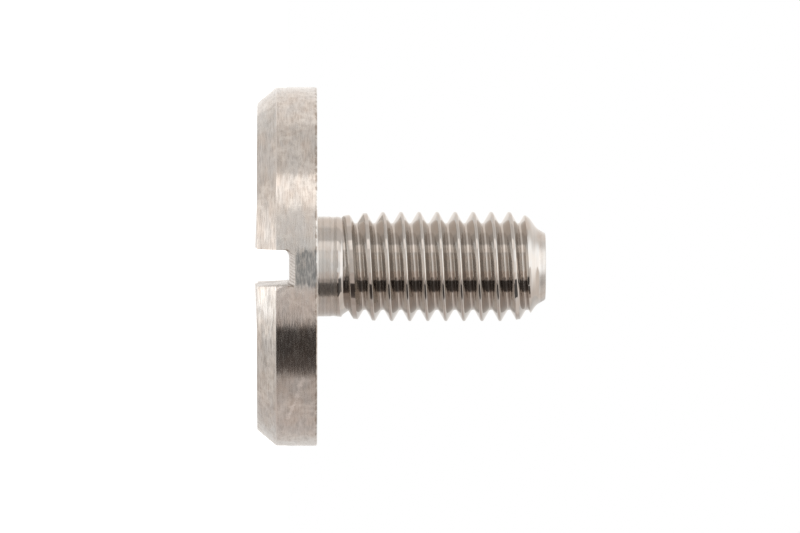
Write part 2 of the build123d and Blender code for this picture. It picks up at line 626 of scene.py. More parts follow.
class NodeBoard:
    """Places and links nodes in a node tree, which it empties first."""

    def __init__(self, tree: NodeTree) -> None:
        """Takes over a node tree.

        Args:
            tree: The tree.
        """
        self.tree = tree
        self.placed = 0
        tree.nodes.clear()

    def node(self, kind: str, inputs: dict[int | str, object] | None = None, **settings: object) -> Node:
        """Adds a node.

        Args:
            kind: The node's type.
            inputs: What its inputs are fed with, by name or number.
            settings: Its properties, by name.

        Returns:
            The node.
        """
        made = self.tree.nodes.new(kind)
        made.location = (200 * (self.placed % 8), -260 * (self.placed // 8))
        self.placed += 1
        for name, value in settings.items():
            setattr(made, name, value)
        for name, value in (inputs or {}).items():
            self.feed(made.inputs[name], value)
        return made

    def feed(self, target: NodeSocket, value: object) -> None:
        """Feeds an input.

        Args:
            target: The input.
            value: A socket that is linked to it, or the plain value or colour that it gets.
        """
        if isinstance(value, NodeSocket):
            self.tree.links.new(value, target)
        elif target.type == "RGBA":
            target.default_value = (*value, 1.0)
        else:
            target.default_value = value

    def effect(self, tree: ShaderNodeTree, values: dict[str, object]) -> Node:
        """Places an effect's node group, whose inputs keep their defaults where no value is given.

        Args:
            tree: The group.
            values: What its inputs are fed with, by their names in lower case with underscores.

        Returns:
            The group's node.
        """
        made = self.node("ShaderNodeGroup", node_tree=tree)
        for socket in made.inputs:
            field = socket.name.lower().replace(" ", "_")
            if field in values:
                self.feed(socket, values[field])
        return made

    def math(self, operation: str, first: object, second: object = 0.0, clamp: bool = False) -> NodeSocket:
        """The result of a math node on two numbers or sockets, kept from 0 to 1 if clamped."""
        inputs = {0: first, 1: second}
        return self.node("ShaderNodeMath", inputs, operation=operation, use_clamp=clamp).outputs[0]

    def add(self, first: object, second: object) -> NodeSocket:
        """The sum of two numbers or sockets."""
        return self.math("ADD", first, second)

    def less(self, first: object, second: object, clamp: bool = False) -> NodeSocket:
        """The first of two numbers or sockets less the second."""
        return self.math("SUBTRACT", first, second, clamp)

    def times(self, first: object, second: object) -> NodeSocket:
        """The product of two numbers or sockets."""
        return self.math("MULTIPLY", first, second)

    def over(self, first: object, second: object, clamp: bool = False) -> NodeSocket:
        """The first of two numbers or sockets divided by the second."""
        return self.math("DIVIDE", first, second, clamp)

    def diagonal(self, first: NodeSocket, second: NodeSocket) -> NodeSocket:
        """The length of the diagonal over two lengths."""
        return self.math("SQRT", self.add(self.times(first, first), self.times(second, second)))

    def scaled(self, vector: NodeSocket, factor: object) -> NodeSocket:
        """A vector times a number or a socket."""
        return self.node("ShaderNodeVectorMath", {0: vector, "Scale": factor}, operation="SCALE").outputs[0]

    def between(self, first: NodeSocket, second: NodeSocket) -> NodeSocket:
        """The first vector less the second."""
        return self.node("ShaderNodeVectorMath", {0: first, 1: second}, operation="SUBTRACT").outputs[0]

    def dot(self, first: NodeSocket, second: NodeSocket) -> NodeSocket:
        """The dot product of two vectors."""
        made = self.node("ShaderNodeVectorMath", {0: first, 1: second}, operation="DOT_PRODUCT")
        return made.outputs["Value"]

    def split(self, vector: NodeSocket) -> tuple[NodeSocket, NodeSocket, NodeSocket]:
        """A vector's X, Y and Z."""
        return tuple(self.node("ShaderNodeSeparateXYZ", {0: vector}).outputs)

    def joined(self, x: object, y: object, z: object) -> NodeSocket:
        """A vector of three numbers or sockets."""
        return self.node("ShaderNodeCombineXYZ", {0: x, 1: y, 2: z}).outputs[0]

    def noise(self, place: NodeSocket, scale: float, detail: float, roughness: float = 0.5) -> NodeSocket:
        """A noise texture's factor at a place, with its scale, its octaves and how strong these are."""
        inputs = {"Vector": place, "Scale": scale, "Detail": detail, "Roughness": roughness}
        return self.node("ShaderNodeTexNoise", inputs).outputs["Fac"]

    def ramp(
        self, value: NodeSocket, low: float, high: float, to_low: object = 0.0, to_high: object = 1.0
    ) -> NodeSocket:
        """A value carried smoothly from one range into another, and kept inside it."""
        inputs = {"Value": value, "From Min": low, "From Max": high, "To Min": to_low, "To Max": to_high}
        return self.node("ShaderNodeMapRange", inputs, interpolation_type="SMOOTHSTEP").outputs["Result"]

    def mix(self, factor: object, first: object, second: object, blend: str = "MIX") -> NodeSocket:
        """Two colours mixed.

        Args:
            factor: How much of the second colour there is.
            first: A colour or a socket.
            second: A colour or a socket.
            blend: The way they are mixed.

        Returns:
            The mixed colour.
        """
        made = self.node("ShaderNodeMix", {"Factor": factor}, data_type="RGBA", blend_type=blend)
        colors = [socket for socket in made.inputs if socket.type == "RGBA"]
        self.feed(colors[0], first)
        self.feed(colors[1], second)
        return [socket for socket in made.outputs if socket.type == "RGBA"][0]


def new_material(name: str) -> tuple[Material, NodeBoard]:
    """Makes a material with nodes.

    Args:
        name: The material's name.

    Returns:
        The material, and the board for its nodes.
    """
    made = bpy.data.materials.new(name)
    made.use_nodes = True
    return made, NodeBoard(made.node_tree)


# -------------------- effects


class Effect(Enum):
    """The effects that the finishes share, each a node group of this name."""

    TURNING = "turning marks"
    MILLING = "milling marks"
    GRAIN = "tumbled grain"
    TONE = "steel tone"
    EDGE = "edge wear"
    LINE = "line mark"
    DULLED = "dulled patch"
    SCUFFS = "handling scuffs"


class EffectBoard(NodeBoard):
    """The board of an effect: a node group that reads a Position in millimetres, among other inputs."""

    def __init__(self, effect: Effect, inputs: dict[str, object], *outputs: str) -> None:
        """Starts the group.

        Args:
            effect: The effect, which names the group.
            inputs: The default of each input besides Position, by name. A colour's has four numbers.
            outputs: The outputs' names. They are values, but for one called Color.
        """
        super().__init__(bpy.data.node_groups.new(effect.value, "ShaderNodeTree"))
        kinds = {0: "NodeSocketFloat", 3: "NodeSocketVector", 4: "NodeSocketColor"}
        for label, default in {"Position": ORIGIN, **inputs}.items():
            kind = kinds[len(default) if isinstance(default, tuple) else 0]
            socket = self.tree.interface.new_socket(name=label, in_out="INPUT", socket_type=kind)
            socket.default_value = default
        for label in outputs:
            kind = kinds[4 if label == "Color" else 0]
            self.tree.interface.new_socket(name=label, in_out="OUTPUT", socket_type=kind)
        self.given = self.node("NodeGroupInput").outputs

    def finished(self, *results: NodeSocket) -> ShaderNodeTree:
        """Feeds the results to the group's outputs in their order, and gives the finished group."""
        self.node("NodeGroupOutput", dict(enumerate(results)))
        return self.tree

    def sized(self, label: str) -> NodeSocket:
        """The Position in units of the group's input of this name."""
        return self.scaled(self.given["Position"], self.over(1.0, self.given[label]))

    def drawn_out(self, length: NodeSocket, width: NodeSocket) -> NodeSocket:
        """Coordinates in which marks round the axis are as long as they are wide.

        Args:
            length: The marks' length round the axis.
            width: Their width along the tool's travel, which runs up by the Height Share and out from
                the axis by the Radial Share.

        Returns:
            The coordinates.
        """
        x, y, z = self.split(self.given["Position"])
        level = self.times(z, self.given["Height Share"])
        travel = self.add(level, self.times(self.diagonal(x, y), self.given["Radial Share"]))
        return self.joined(self.over(x, length), self.over(y, length), self.over(travel, width))

    def frayed(self, distance: NodeSocket, nick_scale: float) -> NodeSocket:
        """A mask that is 1 near a line and frays out over the Width, by the Raggedness.

        Args:
            distance: The distance from the line.
            nick_scale: The scale of the noise that frays it.

        Returns:
            The mask.
        """
        nicks = self.ramp(self.noise(self.given["Position"], nick_scale, 3.0, 0.6), 0.35, 0.65)
        ragged = self.times(nicks, self.given["Raggedness"])
        return self.ramp(self.add(self.over(distance, self.given["Width"]), ragged), 0.3, 1.1, 1.0, 0.0)


def build_turning_marks() -> ShaderNodeTree:
    """Tool marks round the axis: a height for bump and a mask of drawn-out streaks.

    Returns:
        The node group.
    """
    inputs = {"Line Spacing": 0.06, "Streak Length": 2.0, "Height Share": 1.0, "Radial Share": 0.6}
    board = EffectBoard(Effect.TURNING, inputs, "Height", "Streaks")
    drawn = board.drawn_out(board.given["Streak Length"], board.given["Line Spacing"])
    fine = board.noise(drawn, 0.5, 3.0, 0.6)
    broad = board.noise(drawn, 0.13, 2.0)
    height = board.add(fine, board.times(broad, 0.8))
    return board.finished(height, board.ramp(board.add(fine, broad), 0.7, 1.3))


def build_milling_marks() -> ShaderNodeTree:
    """The slotting saw's marks along Y: a height for bump and a mask of lines.

    Returns:
        The node group.
    """
    board = EffectBoard(Effect.MILLING, {"Line Spacing": 0.14, "Slant": 0.011}, "Height", "Streaks")
    x, y, z = board.split(board.given["Position"])
    spacing = board.given["Line Spacing"]
    across = board.over(board.add(x, board.times(y, board.given["Slant"])), spacing)
    uneven = board.noise(board.joined(across, board.times(y, 0.5), board.over(z, spacing)), 0.8, 2.0)
    phase = board.add(across, board.times(uneven, 1.2))
    ridge = board.math("SINE", board.times(phase, FULL_TURN))
    height = board.add(board.times(ridge, 0.5), uneven)
    return board.finished(height, board.ramp(height, 0.1, 0.9))


def build_tumbled_grain() -> ShaderNodeTree:
    """What tumbling leaves: short dashes, a slight waviness and patches of tint.

    Returns:
        The node group.
    """
    inputs = {"Dash Length": 0.15, "Dash Width": 0.05, "Wave Size": 0.5}
    inputs |= {"Height Share": 1.0, "Radial Share": 0.6}
    board = EffectBoard(Effect.GRAIN, inputs, "Dashes", "Waves", "Patches")
    size = board.given["Wave Size"]
    dash = board.drawn_out(board.given["Dash Length"], board.given["Dash Width"])
    wave = board.drawn_out(size, board.times(size, 0.4))
    dashes = board.ramp(board.noise(dash, 0.7, 2.0, 0.55), 0.28, 0.72)
    patches = board.ramp(board.noise(wave, 0.36, 3.0, 0.65), 0.3, 0.7)
    return board.finished(dashes, board.noise(wave, 0.5, 1.0, 0.4), patches)


def build_steel_tone() -> ShaderNodeTree:
    """Stainless steel's tone: streaked, clouded and tinted round a light and a dark colour.

    Returns:
        The node group.
    """
    inputs = {"Streaks": 0.5, "Dashes": 0.5, "Patches": 0.5, "Streak Amount": 0.4, "Dash Amount": 0.3}
    inputs |= {"Light Color": (*LIGHT_STEEL, 1.0), "Dark Color": (*DARK_STEEL, 1.0)}
    inputs |= {"Warm Tint": (*WARM_TINT, 1.0), "Cool Tint": (*COOL_TINT, 1.0)}
    inputs |= {"Cloud Size": 1.5, "Roughness Low": 0.25, "Roughness High": 0.4}
    board = EffectBoard(Effect.TONE, inputs, "Color", "Roughness")
    given = board.given
    cloud = board.ramp(board.noise(board.sized("Cloud Size"), 1.0, 3.0, 0.55), 0.3, 0.7)
    marked = board.add(given["Streak Amount"], given["Dash Amount"])
    shade = board.times(cloud, board.less(1.0, marked, clamp=True))
    streak = board.times(given["Streaks"], given["Streak Amount"])
    dash = board.times(given["Dashes"], given["Dash Amount"])
    amount = board.math("ADD", shade, board.add(streak, dash), clamp=True)
    grey = board.mix(amount, given["Light Color"], given["Dark Color"])
    tint = board.mix(given["Patches"], given["Cool Tint"], given["Warm Tint"])
    rough = board.ramp(amount, 0.0, 1.0, given["Roughness Low"], given["Roughness High"])
    return board.finished(board.mix(1.0, grey, tint, "MULTIPLY"), rough)


def build_edge_wear() -> ShaderNodeTree:
    """Wear and stain along one turned edge, with a painted highlight on the bevel's: a ragged mask that is 1
    on the edge's circle.

    Returns:
        The node group.
    """
    inputs = {"Edge Radius": 1.0, "Edge Height": 0.0, "Width": 0.05, "Raggedness": 0.6}
    board = EffectBoard(Effect.EDGE, inputs, "Mark")
    x, y, z = board.split(board.given["Position"])
    out = board.less(board.diagonal(x, y), board.given["Edge Radius"])
    up = board.less(z, board.given["Edge Height"])
    return board.finished(board.frayed(board.diagonal(out, up), 3.2))


def build_line_mark() -> ShaderNodeTree:
    """One scratch or stain: a ragged mask that is 1 along the line between two points.

    Returns:
        The node group.
    """
    inputs = {"Start": ORIGIN, "End": UP, "Width": 0.05, "Raggedness": 0.6}
    board = EffectBoard(Effect.LINE, inputs, "Mark")
    there = board.between(board.given["Position"], board.given["Start"])
    line = board.between(board.given["End"], board.given["Start"])
    share = board.over(board.dot(there, line), board.dot(line, line), clamp=True)
    away = board.between(there, board.scaled(line, share))
    return board.finished(board.frayed(board.math("SQRT", board.dot(away, away)), 6.0))


def build_painted_reflection_patch() -> ShaderNodeTree:
    """A painted dark reflection: a rectangle across X and Z, drawn with short dashes along X.

    Returns:
        The node group.
    """
    inputs = {"Center": ORIGIN, "Half Across": 0.8, "Half Height": 0.4}
    board = EffectBoard(Effect.DULLED, inputs, "Mark")
    x, _, z = board.split(board.between(board.given["Position"], board.given["Center"]))
    dashes = board.noise(board.joined(board.times(x, 2.2), 0.0, board.times(z, 13.0)), 1.0, 2.0, 0.6)
    across = board.over(board.math("ABSOLUTE", x), board.given["Half Across"])
    up = board.over(board.math("ABSOLUTE", z), board.given["Half Height"])
    ends = board.ramp(board.add(across, board.times(dashes, 0.7)), 1.1, 1.5, 1.0, 0.0)
    sides = board.ramp(up, 0.85, 1.15, 1.0, 0.0)
    tone = board.ramp(dashes, 0.35, 0.65, 1.0, 0.5)
    return board.finished(board.times(board.times(ends, sides), tone))


def build_scuffs() -> ShaderNodeTree:
    """Scuffs: a mask of small ragged patches that gather in larger areas.

    Returns:
        The node group.
    """
    board = EffectBoard(Effect.SCUFFS, {"Size": 0.25, "Spread": 1.6}, "Mark")
    patches = board.ramp(board.noise(board.sized("Size"), 0.8, 3.0, 0.65), 0.40, 0.68)
    areas = board.ramp(board.noise(board.sized("Spread"), 1.0, 1.0), 0.35, 0.60, 0.15)
    return board.finished(board.times(patches, areas))


def build_effects() -> dict[Effect, ShaderNodeTree]:
    """Builds each effect once, and gives their node groups."""
    return {
        Effect.TURNING: build_turning_marks(),
        Effect.MILLING: build_milling_marks(),
        Effect.GRAIN: build_tumbled_grain(),
        Effect.TONE: build_steel_tone(),
        Effect.EDGE: build_edge_wear(),
        Effect.LINE: build_line_mark(),
        Effect.DULLED: build_painted_reflection_patch(),
        Effect.SCUFFS: build_scuffs(),
    }


# -------------------- finishes


LIGHT_STEEL = (0.690, 0.671, 0.648)
DARK_STEEL = (0.455, 0.431, 0.407)
# The slot's milled steel in two copies, darker for its floor and lighter for its walls: painted shade and
# painted light, not two steels.
SHADED_SLOT_FLOOR_STEEL = (0.535, 0.494, 0.452)
SHADED_SLOT_FLOOR_DARK = (0.35, 0.315, 0.28)
LIT_SLOT_WALL_STEEL = (0.60, 0.560, 0.520)
LIT_SLOT_WALL_DARK = (0.47, 0.434, 0.40)
# The thread's steel is painted darker than the head's: painted shade for its grooves and flanks.
SHADED_THREAD_STEEL = (0.575, 0.551, 0.527)
SHADED_THREAD_DARK = (0.50, 0.474, 0.447)
WARM_TINT = (1.01, 0.965, 0.925)
COOL_TINT = (0.985, 1.005, 1.02)
# Light steel along the bevel's worn edge: partly wear, partly a painted edge highlight.
WORN_AND_HIGHLIT_STEEL = (0.78, 0.76, 0.74)
# Dark brown: a stain on the bearing face's edge, and painted shade along the slot's edge and in its worn
# corner.
STAIN_AND_SHADE_STEEL = (0.26, 0.21, 0.17)
SCUFFED_STEEL = (0.80, 0.78, 0.74)
# Near-white steel: a polished smear on the rim, and a painted highlight on the worn corner by the slot.
POLISHED_AND_HIGHLIT_STEEL = (0.92, 0.89, 0.86)
# Painted reflection: the near-black of the camera's reflection, painted on the rim over the slot's ends.
CAMERA_REFLECTION_DARK = (0.185, 0.193, 0.193)
ROUND_THE_AXIS = 0.25


@dataclass(frozen=True)
class Grain:
    """What tumbling left on a surface: sizes in millimetres, depths in micrometres."""

    dash_amount: float
    dash_depth: float
    wave_depth: float
    dash_length: float = 0.15
    dash_width: float = 0.05
    wave_size: float = 0.5


@dataclass(frozen=True)
class Mark:
    """Something laid on part of a surface's colour, from real discolouring to painted light and shade: how
    strongly, and with which colour.

    The fields of each kind of mark feed the inputs of its effect that have the same names.
    """

    effect: ClassVar[Effect]
    amount: float
    color: Color


@dataclass(frozen=True)
class Scuffs(Mark):
    """The scuffs of handling, small patches that gather in larger areas."""

    effect: ClassVar[Effect] = Effect.SCUFFS
    color: Color = SCUFFED_STEEL


@dataclass(frozen=True)
class WornEdge(Mark):
    """One turned edge and its mark, a stain on the bearing face's edge and worn steel with a painted
    highlight on the bevel's. Lengths are millimetres.
    """

    effect: ClassVar[Effect] = Effect.EDGE
    edge_radius: float
    edge_height: float
    width: float
    raggedness: float = 0.6


@dataclass(frozen=True)
class LineMark(Mark):
    """A scratch or a stain from one point to another. Lengths are millimetres."""

    effect: ClassVar[Effect] = Effect.LINE
    start: Place
    end: Place
    width: float


@dataclass(frozen=True)
class PaintedReflectionPatch(Mark):
    """A painted dark reflection of the camera on the rim: a rectangle across X and Z. Lengths are
    millimetres.
    """

    effect: ClassVar[Effect] = Effect.DULLED
    center: Place
    half_across: float
    half_height: float


@dataclass(frozen=True)
class SteelFinish:
    """How one machined surface of the steel looks. Sizes are millimetres, and depths micrometres.

    Its fields, and its grain's, feed the effects' inputs that have the same names.
    """

    name: str
    roughness_low: float
    roughness_high: float
    mark_depth: float
    grain: Grain
    light_color: Color = LIGHT_STEEL
    dark_color: Color = DARK_STEEL
    anisotropy: float = 0.8
    line_spacing: float = 0.03
    streak_length: float = 1.0
    streak_amount: float = 0.6
    cloud_size: float = 1.0
    height_share: float = 1.0
    radial_share: float = 0.6
    milled: bool = False
    marks: tuple[Mark, ...] = ()

    def material(self, effects: dict[Effect, ShaderNodeTree]) -> Material:
        """Builds the material.

        Args:
            effects: The node groups that the finishes share.

        Returns:
            The finished material.
        """
        made, board = new_material(self.name)
        place = board.scaled(board.node("ShaderNodeTexCoord").outputs["Object"], 1 / MM)
        values = {**vars(self), **vars(self.grain), "position": place}
        tooling = board.effect(effects[Effect.MILLING if self.milled else Effect.TURNING], values)
        grain = board.effect(effects[Effect.GRAIN], values)
        values["streaks"] = tooling.outputs["Streaks"]
        values["dashes"] = grain.outputs["Dashes"]
        values["patches"] = grain.outputs["Patches"]
        steel = board.effect(effects[Effect.TONE], values)
        color = steel.outputs["Color"]
        for mark in self.marks:
            laid = board.effect(effects[mark.effect], {**vars(mark), "position": place})
            color = board.mix(board.times(laid.outputs["Mark"], mark.amount), color, mark.color)
        height = board.times(tooling.outputs["Height"], self.mark_depth)
        height = board.add(height, board.times(grain.outputs["Dashes"], self.grain.dash_depth))
        height = board.add(height, board.times(grain.outputs["Waves"], self.grain.wave_depth))
        bump = {"Strength": 1.0, "Distance": MICROMETRE, "Height": height}
        tangent = board.node("ShaderNodeTangent", direction_type="RADIAL", axis="Z")
        looks = {
            "Base Color": color,
            "Metallic": 1.0,
            "Roughness": steel.outputs["Roughness"],
            "Anisotropic": self.anisotropy,
            "Anisotropic Rotation": ROUND_THE_AXIS,
            "Tangent": tangent.outputs["Tangent"],
            "Normal": board.node("ShaderNodeBump", bump).outputs["Normal"],
        }
        shader = board.node("ShaderNodeBsdfPrincipled", looks)
        board.node("ShaderNodeOutputMaterial", {"Surface": shader.outputs["BSDF"]})
        return made


SLOT_GRAIN = Grain(dash_amount=0.15, dash_depth=0.3, wave_depth=1.0)

FINISHES = {
    Surface.HEAD: SteelFinish(
        "turned_head",
        roughness_low=0.11,
        roughness_high=0.30,
        mark_depth=1.2,
        grain=Grain(dash_amount=0.6, dash_depth=2.6, wave_depth=0.8, dash_length=0.36, dash_width=0.045),
        anisotropy=0.9,
        streak_length=0.25,
        streak_amount=0.35,
        cloud_size=1.4,
        marks=(Scuffs(0.5),),
    ),
    Surface.FACE: SteelFinish(
        "turned_face",
        roughness_low=0.24,
        roughness_high=0.34,
        mark_depth=0.8,
        grain=Grain(dash_amount=0.25, dash_depth=0.6, wave_depth=2.0, dash_length=0.5, dash_width=0.06),
        line_spacing=0.05,
        streak_length=1.6,
        cloud_size=2.5,
        height_share=0.0,
        radial_share=1.0,
        marks=(Scuffs(0.3),),
    ),
    Surface.NECK: SteelFinish(
        "turned_neck",
        roughness_low=0.21,
        roughness_high=0.28,
        mark_depth=0.4,
        grain=Grain(dash_amount=0.1, dash_depth=0.1, wave_depth=1.0),
        anisotropy=0.95,
        streak_length=4.0,
        streak_amount=0.7,
        cloud_size=1.4,
    ),
    Surface.THREAD: SteelFinish(
        "rolled_thread",
        # Painted shade: a darker copy of the steel stands in for the shade in the thread's grooves.
        light_color=SHADED_THREAD_STEEL,
        dark_color=SHADED_THREAD_DARK,
        roughness_low=0.05,
        roughness_high=0.09,
        mark_depth=0.08,
        grain=Grain(dash_amount=0.1, dash_depth=0.03, wave_depth=0.4),
        height_share=0.0,
        radial_share=1.0,
    ),
    Surface.TIP: SteelFinish(
        "turned_tip",
        roughness_low=0.28,
        roughness_high=0.34,
        mark_depth=0.6,
        grain=Grain(dash_amount=0.15, dash_depth=0.2, wave_depth=1.0),
        streak_length=2.0,
    ),
    Surface.SLOT: SteelFinish(
        "milled_slot",
        # Painted shade: the floor's darker copy of the milled steel.
        light_color=SHADED_SLOT_FLOOR_STEEL,
        dark_color=SHADED_SLOT_FLOOR_DARK,
        roughness_low=0.28,
        roughness_high=0.36,
        mark_depth=4.0,
        grain=SLOT_GRAIN,
        anisotropy=0.3,
        line_spacing=0.14,
        streak_amount=0.7,
        milled=True,
    ),
    Surface.SLOT_WALL: SteelFinish(
        "milled_slot_wall",
        # Painted light: the walls' lighter copy of the milled steel.
        light_color=LIT_SLOT_WALL_STEEL,
        dark_color=LIT_SLOT_WALL_DARK,
        roughness_low=0.20,
        roughness_high=0.28,
        mark_depth=1.5,
        grain=SLOT_GRAIN,
        anisotropy=0.3,
        line_spacing=0.14,
        milled=True,
    ),
}


@dataclass
class HeadWearAndPaintedLight:
    """What handling and time have left on the head, and the light and shade painted on it: worn and stained
    edges, painted shade and highlights by the slot, a painted dark reflection over its ends, and single
    marks.

    Lengths are millimetres, but the smear's points are shares of the head's radius across, with
    heights in millimetres. The painted dark reflection reaches past the slot's walls.
    """

    head: Head
    slot: DriverSlot
    burr_width: float = 0.08
    spot_above_floor: tuple[float, float] = (0.27, 0.09)
    rubbed_past_wall: tuple[float, float] = (0.14, 0.02)
    rubbed_height: float = 0.2
    smear_width: float = 0.17
    dulled_reach: float = 0.08
    smear: tuple[tuple[float, float], ...] = (
        (0.61, -0.62),
        (0.64, -0.76),
        (0.70, -0.87),
        (0.757, -1.03),
        (0.808, -1.25),
        (0.83, -1.28),
    )

    def on_skin(self, across: float, height: float) -> Vector:
        """A point of the rim or the bevel on the head's -Y side.

        Args:
            across: Its place along X.
            height: Its height.

        Returns:
            The point.
        """
        below = max(self.head.bevel_depth - self.head.thickness - height, 0.0)
        radius = self.head.radius - below * self.head.bevel_width / self.head.bevel_depth
        return Vector((across, -math.sqrt(radius**2 - across**2), height))

    def path(self, amount: float, color: Color, width: float, *points: tuple[float, float]) -> list[LineMark]:
        """The marks that join points of the skin, given as places across and heights, one after the other."""
        places = [tuple(self.on_skin(*point) / MM) for point in points]
        return [LineMark(amount, color, start, end, width) for start, end in zip(places, places[1:])]

    def edges(self) -> list[WornEdge]:
        """The bevel's worn edge, lightened as a painted highlight, and the stained edge of the bearing face.

        Returns:
            The two edges.
        """
        radius = self.head.radius / MM
        bevel = (self.head.bevel_depth - self.head.thickness) / MM
        seat = -0.9 * self.head.seat_edge_break / MM
        # The bevel's edge is lightened: partly worn steel, partly a painted highlight along the edge.
        rubbed_and_highlit = WornEdge(0.5, WORN_AND_HIGHLIT_STEEL, radius, bevel, 0.06)
        return [rubbed_and_highlit, WornEdge(0.75, STAIN_AND_SHADE_STEEL, radius - 0.01, seat, 0.08, 0.75)]

    def dulled(self) -> PaintedReflectionPatch:
        """The rim over each end of the slot, painted dark where it reflects the camera.

        Returns:
            The patch, which marks both ends.
        """
        floor = self.slot.floor_at(self.head.radius)
        left = self.slot.wall_at(floor, -1) / MM
        right = self.slot.wall_at(floor, 1) / MM
        middle = 0.5 * floor / MM
        half = 0.5 * (right - left) + self.dulled_reach
        return PaintedReflectionPatch(0.9, CAMERA_REFLECTION_DARK, (0.5 * (left + right), 0.0, middle), half, -middle)

    def lines(self) -> list[LineMark]:
        """Painted shade along the slot's -X edge and into its worn corner, a dark spot by its floor, a
        painted highlight on the worn corner by the +X wall, and a smear further along the rim.

        Returns:
            The marks.
        """
        low = -self.head.thickness
        edge = low + self.head.bevel_depth
        floor = self.slot.floor_at(self.head.radius)
        left = self.slot.wall_at(edge, -1)
        right = self.slot.wall_at(edge, 1)
        worn = self.slot.worn_corner
        bend = (left, floor - worn)
        inside = (left + 0.1 * worn, floor - 0.6 * worn)
        line_width = self.burr_width
        # Painted shade: a dark line down the slot's -X edge and a darker one into its worn corner, where the
        # corner is in shadow.
        marks = self.path(0.7, STAIN_AND_SHADE_STEEL, line_width, (left, low), bend)
        marks += self.path(1.0, STAIN_AND_SHADE_STEEL, 1.2 * line_width, bend, inside)
        # A dark spot on the +X wall's edge, just short of the floor.
        spot = [(right, floor - above * MM) for above in self.spot_above_floor]
        marks += self.path(1.0, STAIN_AND_SHADE_STEEL, line_width, *spot)
        # Painted highlight: a near-white line over the worn corner by the +X wall, where its rounding catches
        # light.
        heights = (edge, edge + self.rubbed_height * MM)
        rubbed_and_highlit = [(right + past * MM, height) for past, height in zip(self.rubbed_past_wall, heights)]
        marks += self.path(0.9, POLISHED_AND_HIGHLIT_STEEL, 1.1 * line_width, *rubbed_and_highlit)
        around = [(share * self.head.radius, height * MM) for share, height in self.smear]
        return marks + self.path(0.4, POLISHED_AND_HIGHLIT_STEEL, self.smear_width, *around)


def screw_materials(wear: HeadWearAndPaintedLight) -> list[Material]:
    """The material of each surface.

    Args:
        wear: What has marked the head, and the light and shade painted on it.

    Returns:
        The materials, in the order of Surface.
    """
    finishes = dict(FINISHES)
    head = finishes[Surface.HEAD]
    finishes[Surface.HEAD] = replace(head, marks=(*head.marks, *wear.edges(), wear.dulled(), *wear.lines()))
    effects = build_effects()
    return [finishes[surface].material(effects) for surface in Surface]


# -------------------- the studio


PLAIN = (1.0, 1.0, 1.0)
SOFT = (1.0, 0.965, 0.935)
CREAM = (1.0, 0.93, 0.88)
WARM = (1.0, 0.88, 0.82)
PINK = (1.0, 0.91, 0.86)
DARK_WARM = (1.0, 0.82, 0.74)
FLOOR_GREY = (0.9, 0.9, 0.9)


@dataclass(frozen=True)
class Cloth:
    """One cloth of a tier: from where it hangs, how bright it is, its tint, and its soft edge in degrees."""

    start: float
    level: float
    tint: Color
    fade: float = 2.0

    @property
    def glow(self) -> Vector:
        """The cloth's light, where 1 is white."""
        return Vector(self.tint) * self.level


@dataclass(frozen=True)
class TentTier:
    """One tier of the light tent: a ring of cloths from one elevation up to the next tier.

    Angles are degrees. Azimuth 0 is the camera's side and grows towards +X, and elevation is above
    the bearing face. A cloth reaches from its start to the next one's, and the last one to 180.
    """

    low: float
    cloths: tuple[Cloth, ...]
    fade: float = 2.0
    closing: float = 16.0

    def glow_at(self, azimuth: float) -> Vector:
        """The tier's light at an azimuth.

        Args:
            azimuth: The azimuth.

        Returns:
            The light as a colour, where 1 is white.
        """
        glow = self.cloths[0].glow
        for cloth in self.cloths[1:]:
            glow = glow.lerp(cloth.glow, smooth_step((azimuth - cloth.start) / cloth.fade + 0.5))
        return glow.lerp(self.cloths[0].glow, smooth_step((azimuth - 180.0) / self.closing + 1.0))


@dataclass(frozen=True)
class Tent:
    """The light tent: a sphere of pale cloths round the screw, seen only in the steel."""

    tiers: tuple[TentTier, ...]
    radius: float = 0.5
    columns: int = 240
    rows: int = 160
    pole: float = 89.5

    def point(self, azimuth: float, elevation: float) -> Vector:
        """A place on the tent's sphere.

        Args:
            azimuth: Its azimuth in degrees.
            elevation: Its elevation in degrees.

        Returns:
            The place.
        """
        turn = math.radians(azimuth)
        lift = math.radians(elevation)
        level = self.radius * math.cos(lift)
        return Vector((level * math.sin(turn), -level * math.cos(turn), self.radius * math.sin(lift)))

    def build(self) -> Object:
        """Builds the tent as one mesh with its light as a colour attribute.

        Returns:
            The tent, declared as stage.
        """
        azimuths = [360.0 * column / self.columns - 180.0 for column in range(self.columns)]
        rings = [[tier.glow_at(azimuth) for azimuth in azimuths] for tier in self.tiers]
        mesh = bmesh.new()
        glow = mesh.verts.layers.float_color.new("glow")
        grid = []
        for row in range(self.rows + 1):
            elevation = self.pole * (2 * row / self.rows - 1)
            shares = [smooth_step((elevation - tier.low) / tier.fade + 0.5) for tier in self.tiers]
            line = []
            for column, azimuth in enumerate(azimuths):
                light = rings[0][column]
                for ring, share in zip(rings[1:], shares[1:]):
                    light = light.lerp(ring[column], share)
                corner = mesh.verts.new(self.point(azimuth, elevation))
                corner[glow] = (*light, 1.0)
                line.append(corner)
            grid.append(line)
        for under, over in zip(grid, grid[1:]):
            for column in range(self.columns):
                beside = (column + 1) % self.columns
                mesh.faces.new([under[column], under[beside], over[beside], over[column]])
        tent = object_from(mesh, "light_tent")
        tent.data.materials.append(self.cloth_material())
        tent.visible_camera = False
        tent.visible_shadow = False
        tent.visible_diffuse = False
        tent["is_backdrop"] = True
        return tent

    @staticmethod
    def cloth_material() -> Material:
        """The lit cloth, which takes its tone from the mesh.

        Returns:
            The material.
        """
        made, board = new_material("tent_cloth")
        made.cycles.emission_sampling = "NONE"
        tone = board.node("ShaderNodeAttribute", attribute_name="glow")
        light = board.node("ShaderNodeEmission", {"Color": tone.outputs["Color"]})
        board.node("ShaderNodeOutputMaterial", {"Surface": light.outputs[0]})
        return made


